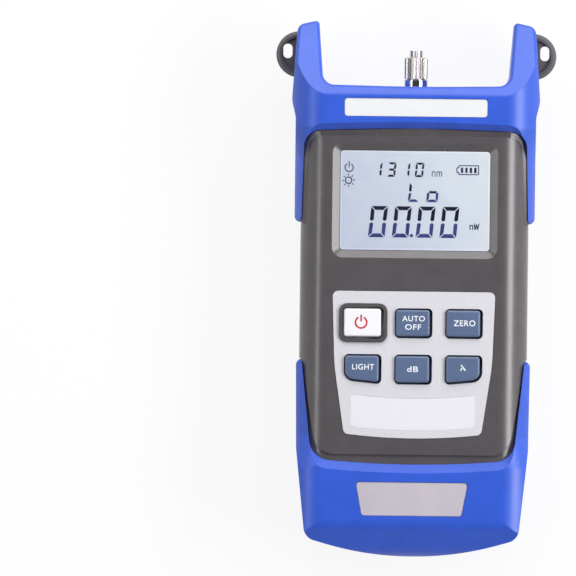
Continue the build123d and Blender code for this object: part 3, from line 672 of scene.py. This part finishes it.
@dataclass
class Display:
    """The lens, the backlit panel and the figures that it shows."""

    dresser: Dresser
    level: float = 42.33
    thickness: float = 0.05
    # Size of the painted highlight that rims the lens
    highlight_width: float = 0.62
    highlight_corner: float = 1.1
    highlight_least: float = 0.05
    highlight_corner_steps: int = 8
    stroke: float = 0.36
    reading_size: DigitSize = DigitSize(5.95, 11.1, 1.4, 0.5)
    reading_x: tuple[float, ...] = (-16.6, -8.15, 0.3, 8.76)
    reading_y: float = 18.33
    point_x: float = -1.12
    point_rise: float = 0.72
    point_radius: float = 0.6
    wave_size: DigitSize = DigitSize(3.0, 5.15, 0.76, 0.34)
    wave_x: tuple[float, ...] = (-15.15, -10.2, -5.25, -0.28)
    wave_y: float = 39.85
    word_y: float = 31.0
    large_l_size: DigitSize = DigitSize(3.9, 6.9, 0.95, 0.4)
    large_l_x: float = -2.6
    small_o_size: DigitSize = DigitSize(4.1, 7.3, 0.95, 0.4)
    small_o_x: float = 3.9
    small_o_top: tuple[Point, ...] = ((1.0, 3.1), (3.1, 3.1), (3.5, 3.95), (0.6, 3.95))
    battery_ring: tuple[Point, ...] = (
        (14.75, 41.65), (15.45, 41.65), (15.45, 40.95), (22.45, 40.95), (22.45, 41.6),
        (22.45, 43.55), (22.45, 44.1), (15.45, 44.1), (15.45, 43.3), (14.75, 43.3),
        (14.75, 41.65))
    battery_bar_x: tuple[float, ...] = (16.15, 17.72, 19.3, 20.88)
    battery_bar_width: float = 0.85
    battery_bar_y: Point = (41.5, 43.4)
    battery_thin_bars: int = 2
    power_centre: Point = (-23.54, 43.0)
    power_radius: float = 1.45
    power_ring: float = 0.4
    power_bar: Stroke = ((0.0, 0.0), (0.0, 2.25), 0.38)
    sun_centre: Point = (-23.68, 38.46)
    sun_radius: float = 1.14
    sun_ring: float = 0.42
    sun_rays: int = 8
    sun_turn_deg: float = 4.0
    sun_ray_span: Point = (1.62, 2.35)
    nano_metre_strokes: tuple[Stroke, ...] = (
        ((5.98, 40.1), (5.98, 41.95), 0.3), ((5.98, 41.8), (7.03, 41.8), 0.3),
        ((7.03, 40.1), (7.03, 41.8), 0.3), ((7.72, 40.1), (7.72, 41.95), 0.3),
        ((7.72, 41.8), (8.54, 41.8), 0.3), ((8.54, 40.1), (8.54, 41.8), 0.3),
        ((8.54, 41.8), (9.36, 41.8), 0.3), ((9.36, 40.1), (9.36, 41.8), 0.3))
    nano_watt_strokes: tuple[Stroke, ...] = (
        ((19.65, 21.3), (19.65, 23.1), 0.38), ((19.65, 22.9), (20.65, 22.9), 0.36),
        ((20.6, 21.3), (20.6, 22.9), 0.38), ((21.15, 23.6), (21.4, 21.35), 0.38),
        ((21.4, 21.35), (21.95, 23.3), 0.38), ((21.95, 23.3), (22.3, 21.35), 0.38),
        ((22.3, 21.35), (22.85, 23.6), 0.38))

    def build(self) -> None:
        """Dress the screen's CAD pieces and draw its figures."""
        self.dresser.dress("display_lens", "lcd_panel", "backlight_panel", "lcd_bracket")
        self.paint_lens_highlight()
        full, half, icon = (FlatPiece(self.level, self.level + self.thickness) for _ in range(3))
        self.reading(full, half)
        self.wavelength(full)
        self.level_word(full, half)
        self.battery(full, icon)
        self.icons(icon)
        self.units(full, icon)
        shown = (("full", full, Inks.full_segment), ("half", half, Inks.half_segment),
                 ("icon", icon, Inks.icon_segment))
        for name, piece, ink in shown:
            mesh = piece.mesh(f"display_{name}_segments")
            self.dresser.add_piece(mesh, ink, "lcd_glass", "housing")

    def paint_lens_highlight(self) -> None:
        """Lay a painted highlight: a glowing rim on the lens's top along its edge, over the shaded
        ledge beneath it.
        """
        low, high = (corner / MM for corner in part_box("display_lens"))
        ring = FlatPiece(high.z - self.thickness / 2, high.z + self.thickness / 2)
        corners = ((0, high.x, high.y), (90, low.x, high.y), (180, low.x, low.y),
                   (270, high.x, low.y))
        rims = []
        for inset, radius in ((self.highlight_width, self.highlight_least), (self.highlight_least, self.highlight_corner)):
            rim = []
            for turn, x, y in corners:
                middle = (x - math.copysign(inset + radius, x - (low.x + high.x) / 2),
                          y - math.copysign(inset + radius, y - (low.y + high.y) / 2))
                rim += arc_points(middle, radius, turn, turn + 90, self.highlight_corner_steps)
            rims.append([*rim, rim[0]])
        ring.band(*rims)
        # Painted highlight: the rim wears the backlit glass's glowing material
        mesh = ring.mesh("lens_painted_highlight")
        self.dresser.add_piece(mesh, Materials.lcd_glass, "lcd_glass", "housing")

    def reading(self, full: FlatPiece, half: FlatPiece) -> None:
        """Draw the large reading of four noughts and a point.

        Args:
            full: Fully driven bars.
            half: Half driven bars.
        """
        for x in self.reading_x:
            Digit(x, self.reading_y, self.reading_size).draw("abcdef", full, half)
        half.disc((self.point_x, self.reading_y + self.point_rise), self.point_radius)

    def wavelength(self, full: FlatPiece) -> None:
        """Draw the wavelength in nanometres.

        Args:
            full: Fully driven bars.
        """
        for x, bars in zip(self.wave_x, ("bc", "abgcd", "bc", "abcdef")):
            Digit(x, self.wave_y, self.wave_size).draw(bars, full, full)

    def level_word(self, full: FlatPiece, half: FlatPiece) -> None:
        """Draw the word for a low level, from seven-bar letters.

        Args:
            full: Fully driven bars.
            half: Half driven bars.
        """
        Digit(self.large_l_x, self.word_y, self.large_l_size).draw("fed", full, half)
        small = Digit(self.small_o_x, self.word_y, self.small_o_size)
        small.draw("cde", full, half)
        full.outline(small.lean(self.small_o_top))

    def battery(self, full: FlatPiece, icon: FlatPiece) -> None:
        """Draw the battery with four bars, its nose to the left.

        Args:
            full: Fully driven bars.
            icon: Thin lines.
        """
        for a, b in zip(self.battery_ring, self.battery_ring[1:]):
            icon.line(a, b, self.stroke)
        low, high = self.battery_bar_y
        for i, x in enumerate(self.battery_bar_x):
            end = x + self.battery_bar_width
            target = icon if i < self.battery_thin_bars else full
            target.outline([(x, low), (end, low), (end, high), (x, high)])

    def icons(self, icon: FlatPiece) -> None:
        """Draw the power sign and the backlight's sun.

        Args:
            icon: Thin lines.
        """
        icon.power_sign(self.power_centre, self.power_radius, self.power_ring, self.power_bar)
        icon.arc(self.sun_centre, self.sun_radius, self.sun_ring, 0, 360)
        x, y = self.sun_centre
        for i in range(self.sun_rays):
            turn = math.radians(360 / self.sun_rays * i + self.sun_turn_deg)
            ends = [(x + r * math.cos(turn), y + r * math.sin(turn)) for r in self.sun_ray_span]
            icon.line(*ends, self.stroke)

    def units(self, full: FlatPiece, icon: FlatPiece) -> None:
        """Draw the two units as thin strokes.

        Args:
            full: Fully driven strokes.
            icon: Thin lines.
        """
        for piece, strokes in ((icon, self.nano_metre_strokes), (full, self.nano_watt_strokes)):
            for a, b, width in strokes:
                piece.line(a, b, width)


@dataclass(frozen=True)
class Legend:
    """A word printed on one key, with the middle and size of its letters."""

    key: str
    word: str
    x: float
    y: float
    width: float
    height: float


@dataclass
class Keypad:
    """The overlay, the six keys and what is printed on them."""

    dresser: Dresser
    print_height: float = 0.03
    film_half_width: float = 22.1
    film_corner: float = 1.2
    film_corner_steps: int = 8
    film_steps: int = 24
    film_head_y: float = -37.4
    film_head_bow: float = 1.35
    film_foot_y: float = -49.0
    film_foot_bow: float = 1.15
    letter_offset: float = 0.009
    letter_spacing: float = 1.1
    legends: tuple[Legend, ...] = (
        Legend("auto_off_key", "AUTO", -0.05, -10.4, 8.0, 1.95),
        Legend("auto_off_key", "OFF", -0.15, -13.4, 5.7, 1.95),
        Legend("zero_key", "ZERO", 18.05, -11.85, 7.7, 2.1),
        Legend("light_key", "LIGHT", -17.75, -27.7, 7.8, 2.0),
        Legend("decibel_key", "dB", -0.15, -28.35, 3.9, 1.95),
    )
    power_centre: Point = (-18.65, -11.95)
    power_radius: float = 2.0
    power_ring: float = 0.6
    power_bar: Stroke = ((0.0, 0.35), (0.0, 2.75), 0.56)
    lambda_x: float = 17.64
    lambda_y: float = -27.75
    lambda_strokes: tuple[Stroke, ...] = (
        ((-0.85, 0.85), (-0.45, 0.95), 0.42), ((-0.5, 0.95), (0.9, -0.95), 0.48),
        ((-0.85, -0.95), (-0.02, 0.3), 0.46))
    keys: tuple[str, ...] = (
        "power_key", "auto_off_key", "zero_key", "light_key", "decibel_key", "wavelength_key")

    def build(self) -> None:
        """Dress the keypad and print its legends."""
        self.dresser.dress("keypad_overlay", "keypad_mat", *self.keys)
        for legend in self.legends:
            self.print_word(legend)
        self.print_power_sign()
        self.print_lambda()
        self.print_window()

    def blank_print(self, key: str) -> FlatPiece:
        """Start a sign that is printed on a key.

        Args:
            key: The key's node.

        Returns:
            A piece with no shapes yet, at the key's face.
        """
        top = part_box(key)[1].z / MM
        return FlatPiece(top - self.print_height, top + self.print_height)

    def bow(self, y: float, depth: float, x: float) -> float:
        """Return the height of a film edge that bows down by a depth in its middle."""
        return y - depth * (1 - (x / self.film_half_width) ** 2)

    def print_window(self) -> None:
        """Print the bare window at the overlay's foot paler than the rest."""
        half, corner, steps = self.film_half_width, self.film_corner, self.film_steps
        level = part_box("keypad_overlay")[1].z / MM
        film = FlatPiece(level, level + self.print_height)
        middle = (corner - half, self.film_foot_y + corner)
        left = arc_points(middle, corner, 180, 270, self.film_corner_steps)
        across = [(half - corner) * (2 * i / steps - 1) for i in range(1, steps)]
        foot = [(x, self.bow(self.film_foot_y, self.film_foot_bow, x)) for x in across]
        right = [(-x, y) for x, y in reversed(left)]
        across = [half * (1 - 2 * i / steps) for i in range(steps + 1)]
        head = [(x, self.bow(self.film_head_y, self.film_head_bow, x)) for x in across]
        film.outline(left + foot + right + head)
        mesh = film.mesh("window_film")
        self.dresser.add_piece(mesh, Inks.window_print, "overlay_grey", "housing")

    def print_word(self, legend: Legend) -> None:
        """Print one word in white letters on its key.

        Args:
            legend: The word, its key, place and size.
        """
        curve = bpy.data.curves.new(legend.word, "FONT")
        curve.body = legend.word
        curve.align_x, curve.align_y = "LEFT", "BOTTOM_BASELINE"
        curve.offset = self.letter_offset
        curve.space_character = self.letter_spacing
        text = link_object(legend.word, curve)
        bpy.context.view_layer.update()
        shown = text.evaluated_get(bpy.context.evaluated_depsgraph_get())
        mesh = bpy.data.meshes.new_from_object(shown)
        mesh.name = f"{legend.word.lower()}_legend"
        bpy.data.objects.remove(text)
        xs, ys = zip(*((v.co.x, v.co.y) for v in mesh.vertices))
        middle_x, middle_y = (min(xs) + max(xs)) / 2, (min(ys) + max(ys)) / 2
        wide, high = max(xs) - min(xs), max(ys) - min(ys)
        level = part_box(legend.key)[1].z + self.print_height * MM
        for v in mesh.vertices:
            x = (v.co.x - middle_x) / wide * legend.width + legend.x
            y = (v.co.y - middle_y) / high * legend.height + legend.y
            v.co = (x * MM, y * MM, level)
        self.dresser.add_piece(mesh, Inks.white_print, "key_blue", legend.key)

    def print_power_sign(self) -> None:
        """Print the red power sign on the white key."""
        sign = self.blank_print("power_key")
        sign.power_sign(self.power_centre, self.power_radius, self.power_ring, self.power_bar)
        self.dresser.add_piece(sign.mesh("power_sign"), Inks.red_print, "key_white", "power_key")

    def print_lambda(self) -> None:
        """Print the white wavelength sign."""
        sign = self.blank_print("wavelength_key")
        x, y = self.lambda_x, self.lambda_y
        for a, b, width in self.lambda_strokes:
            sign.line((x + a[0], y + a[1]), (x + b[0], y + b[1]), width)
        mesh = sign.mesh("wavelength_sign")
        self.dresser.add_piece(mesh, Inks.white_print, "key_blue", "wavelength_key")


@dataclass
class Shell:
    """The blue bumpers, the grey housing, its plates, lugs, door and screws.

    A closing strip lies on the housing beside each of the cap's legs. It fills the narrow gap that
    the solids leave there, and carries the housing's round shoulder on up to the leg.
    """

    dresser: Dresser
    shoulder_start: float = 30.0
    shoulder_radius: float = 10.5
    shoulder_level: float = 35.0
    window_half: float = 39.4
    window_flare: float = 0.95
    window_corner: float = 6.0
    window_drop: float = 1.3
    cap_window_depth: float = 37.88
    strip_width: float = 2.6
    strip_sink: float = 0.04
    strip_overhang: float = 0.5
    strip_shares: tuple[Point, ...] = ((0.35, 0.0), (0.55, 0.3), (0.78, 0.7), (1.0, 1.0))
    strip_depth: float = 3.0
    strip_fullness: float = 0.9
    strip_end_x: float = 0.0
    strip_side_steps: int = 10
    strip_corner_steps: int = 12
    pieces: tuple[str, ...] = (
        "top_cap", "bottom_boot", "front_shell", "rear_shell", "battery_door", "left_strap_lug",
        "right_strap_lug", "top_name_plate", "bottom_name_plate", "housing_screws")

    def build(self) -> None:
        """Dress each moulding and plate, and close the gaps beside the legs."""
        self.dresser.dress(*self.pieces)
        for side, name in ((-1, "left"), (1, "right")):
            mesh = self.closing_strip(side, f"{name}_closing_strip")
            self.dresser.add_piece(mesh, Materials.grey_plastic, "grey_plastic", "housing")

    def shoulder(self, x: float) -> float:
        """Return the level of the housing's front at a distance from its middle line."""
        out = min(max(abs(x) - self.shoulder_start, 0), self.shoulder_radius)
        return self.shoulder_level + math.sqrt(self.shoulder_radius**2 - out**2)

    def window_edge(self) -> list[tuple[Vector, Vector]]:
        """Trace the cap's window on its right side, from the leg's tip round the corner.

        Returns:
            Pairs of a point on the edge and the direction from it into the window.
        """
        tip_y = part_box("top_cap")[0].y / MM - self.strip_overhang
        top_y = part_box("top_cap")[1].y / MM - self.cap_window_depth
        tip = Vector((self.window_half + self.window_flare, tip_y))
        corner = Vector((self.window_half, top_y - self.window_drop))
        top = Vector((0, top_y))
        side, along = (corner - tip).normalized(), (top - corner).normalized()
        turn = side.angle(along)
        start = corner - side * self.window_corner * math.tan(turn / 2)
        inward = Vector((-side.y, side.x))
        centre = start + inward * self.window_corner
        steps = self.strip_side_steps
        path = [(tip + (start - tip) * i / steps, inward) for i in range(steps + 1)]
        for i in range(1, self.strip_corner_steps + 1):
            angle = turn * i / self.strip_corner_steps
            ray = Vector((inward.x * math.cos(angle) - inward.y * math.sin(angle),
                          inward.x * math.sin(angle) + inward.y * math.cos(angle)))
            path.append((centre - ray * self.window_corner, ray))
        last, ray = path[-1]
        path.append((last + along * (last.x - self.strip_end_x), ray))
        return path

    def strip_section(self, edge: Vector, inward: Vector) -> list[Spot]:
        """Cut the right strip across at one point of the window's edge.

        Args:
            edge: The point on the edge.
            inward: The direction from it into the window.

        Returns:
            The section's corners, from the panel along the top to the edge and back below.
        """
        inner = edge + inward * self.strip_width
        section = [(inner.x, inner.y, self.shoulder(inner.x) - self.strip_sink)]
        for share, full in self.strip_shares:
            spot = inner.lerp(edge, share)
            level = self.shoulder(spot.x - self.strip_fullness * full)
            section.append((spot.x, spot.y, level - self.strip_sink))
        low = section[-1][2] - self.strip_depth
        return [*section, (edge.x, edge.y, low), (inner.x, inner.y, low)]

    def closing_strip(self, side: int, name: str) -> bpy.types.Mesh:
        """Build the strip between the housing's raised panel and one leg.

        Args:
            side: 1 for the right leg, -1 for the left one.
            name: The mesh's name.

        Returns:
            The strip's mesh.
        """
        sections = [self.strip_section(edge, inward) for edge, inward in self.window_edge()]
        spots = [(side * x, y, z) for section in sections for x, y, z in section]
        count = len(sections[0])
        faces = []
        for a in range(0, len(spots) - count, count):
            b = a + count
            for j in range(count):
                k = (j + 1) % count
                faces.append((a + j, b + j, b + k, a + k))
        faces += [tuple(range(count)), tuple(reversed(range(len(spots) - count, len(spots))))]
        if side < 0:
            faces = [tuple(reversed(face)) for face in faces]
        return mesh_of(name, spots, faces)


@dataclass
class Adapter:
    """The screw-on optical adapter: chrome socket, knurled barrel and slotted sleeve."""

    dresser: Dresser
    pieces: tuple[str, ...] = (
        "adapter_socket", "adapter_barrel", "split_sleeve", "photodiode_can")

    def build(self) -> None:
        """Dress the turned pieces."""
        self.dresser.dress(*self.pieces)


@dataclass
class Inside:
    """The board, its chips, the cells and their contacts."""

    dresser: Dresser
    pieces: tuple[str, ...] = (
        "main_board", "processor_chip", "amplifier_chip", "battery_springs", "battery_contacts",
        "board_screws", "left_cell", "middle_cell", "right_cell")

    def build(self) -> None:
        """Dress the hidden pieces."""
        self.dresser.dress(*self.pieces)


@dataclass(frozen=True)
class Softbox:
    """A flat rectangular light that faces the meter from a place on the studio's dome."""

    name: str
    from_zenith_deg: float
    towards_deg: float
    across_m: float
    along_m: float
    radiance: float
    distance_m: float = 1.2

    def build(self) -> None:
        """Hang the light, with the power that gives its radiance."""
        lamp = bpy.data.lights.new(self.name, "AREA")
        lamp.shape = "RECTANGLE"
        lamp.size, lamp.size_y = self.across_m, self.along_m
        lamp.energy = self.radiance * math.pi * self.across_m * self.along_m
        box = link_object(self.name, lamp)
        tilt, turn = math.radians(self.from_zenith_deg), math.radians(self.towards_deg)
        out, up = self.distance_m * math.sin(tilt), self.distance_m * math.cos(tilt)
        box.location = (out * math.cos(turn), out * math.sin(turn), up)
        box.rotation_euler = (0, tilt, turn)
        LOG.info("hung the %s softbox", self.name)


@dataclass
class Studio:
    """The pale floor, the softboxes and the camera of the photograph."""

    picture_width: float = 204.42
    picture_x: float = -44.73
    picture_y: float = -0.07
    picture_z: float = 46.0
    lean_deg: float = 0.68
    lens: float = 1000.0
    sensor: float = 36.0
    wall_colour: str = "#ffffff"
    world_level: float = 0.3
    ceiling_level: float = 0.06
    ceiling_span: Point = (0.15, 0.92)
    floor_half: float = 4000.0
    floor_colour: str = "#f2f2f2"
    floor_glow: float = 0.88
    paper_tooth: float = 1.1111111
    paper_tooth_height: float = 0.02
    softboxes: tuple[Softbox, ...] = (
        Softbox("top", 52, 90, 0.8, 1.2, 3.75),
        Softbox("right", 47, 0, 0.42, 1.1, 9.0),
        Softbox("left", 44, 180, 0.2, 1.1, 5.0),
    )

    def build(self) -> None:
        """Build the world, the floor, the lights and the camera."""
        bpy.context.scene.view_settings.view_transform = "Standard"
        self.world()
        self.floor()
        for softbox in self.softboxes:
            softbox.build()
        self.camera()
        LOG.info("built the studio")

    def seen(self, tree: Tree) -> Socket:
        """Find the rays that see the background: the camera's, and those off metal and glass.

        Args:
            tree: The node tree.

        Returns:
            An output that is 1 for such a ray.
        """
        path = add_node(tree, "ShaderNodeLightPath")
        either = path.outputs["Is Camera Ray"]
        for kind in ("Is Glossy Ray", "Is Transmission Ray"):
            either = self.combine(tree, "MAXIMUM", either, path.outputs[kind])
        return either

    def combine(self, tree: Tree, operation: str, a: Socket, b: Socket | float) -> Socket:
        """Combine two values by one sum.

        Args:
            tree: The node tree.
            operation: The sum's name.
            a: The first value.
            b: The second value.

        Returns:
            The result's output.
        """
        node = add_node(tree, "ShaderNodeMath", {0: a, 1: b}, {"operation": operation})
        return node.outputs[0]

    def world(self) -> None:
        """Light the meter from a room with white walls and a dark ceiling."""
        world = bpy.data.worlds.new("studio")
        tree = empty_tree(world)
        level = add_node(tree, "ShaderNodeMapRange", {
            "Value": self.seen(tree), "To Min": self.world_level})
        place = add_node(tree, "ShaderNodeTexCoord").outputs["Generated"]
        rise = add_node(tree, "ShaderNodeSeparateXYZ", {"Vector": place})
        ceiling = add_node(tree, "ShaderNodeMapRange", {
            "Value": rise.outputs[2], "From Min": self.ceiling_span[0],
            "From Max": self.ceiling_span[1], "To Min": 1.0, "To Max": self.ceiling_level})
        room = self.combine(tree, "MULTIPLY", level.outputs[0], ceiling.outputs[0])
        back = add_node(tree, "ShaderNodeBackground", {
            "Strength": room, "Color": linear(self.wall_colour)})
        add_node(tree, "ShaderNodeOutputWorld", {"Surface": back.outputs[0]})
        bpy.context.scene.world = world

    def floor(self) -> None:
        """Lay a pale floor that looks white and keeps a faint shadow."""
        half = self.floor_half
        corners = [(-half, -half, 0), (half, -half, 0), (half, half, 0), (-half, half, 0)]
        floor = link_object("floor", mesh_of("floor", corners, [(0, 1, 2, 3)]))
        material = bpy.data.materials.new("white paper")
        tree = empty_tree(material)
        place = add_node(tree, "ShaderNodeTexCoord").outputs["Object"]
        tooth = add_node(tree, "ShaderNodeTexNoise", {
            "Vector": place, "Scale": 1 / (self.paper_tooth * MM)})
        bump = add_node(tree, "ShaderNodeBump", {
            "Height": tooth.outputs[0], "Distance": self.paper_tooth_height * MM})
        paper = add_node(tree, "ShaderNodeBsdfDiffuse", {
            "Normal": bump.outputs[0], "Color": linear(self.floor_colour)})
        glow = add_node(tree, "ShaderNodeEmission", {"Strength": 1.0})
        share = self.combine(tree, "MULTIPLY", self.seen(tree), self.floor_glow)
        mix = add_node(tree, "ShaderNodeMixShader", {
            0: share, 1: paper.outputs[0], 2: glow.outputs[0]})
        add_node(tree, "ShaderNodeOutputMaterial", {"Surface": mix.outputs[0]})
        floor.data.materials.append(material)

    def camera(self) -> None:
        """Look straight down from afar, with the meter to the right and leaning a little."""
        data = bpy.data.cameras.new("camera")
        data.lens = self.lens
        data.sensor_width = self.sensor
        camera = link_object("camera", data)
        height = self.picture_z + self.picture_width / self.sensor * self.lens
        camera.location = (self.picture_x * MM, self.picture_y * MM, height * MM)
        camera.rotation_euler = (0, 0, math.radians(self.lean_deg))
        bpy.context.scene.camera = camera


def main() -> None:
    logging.basicConfig(level=logging.INFO, format="%(name)s: %(message)s")
    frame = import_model()
    dresser = Dresser(frame["nodes"], frame["record"])
    Shell(dresser).build()
    Display(dresser).build()
    Keypad(dresser).build()
    Adapter(dresser).build()
    Inside(dresser).build()
    Studio().build()


if __name__ == "__main__":
    main()
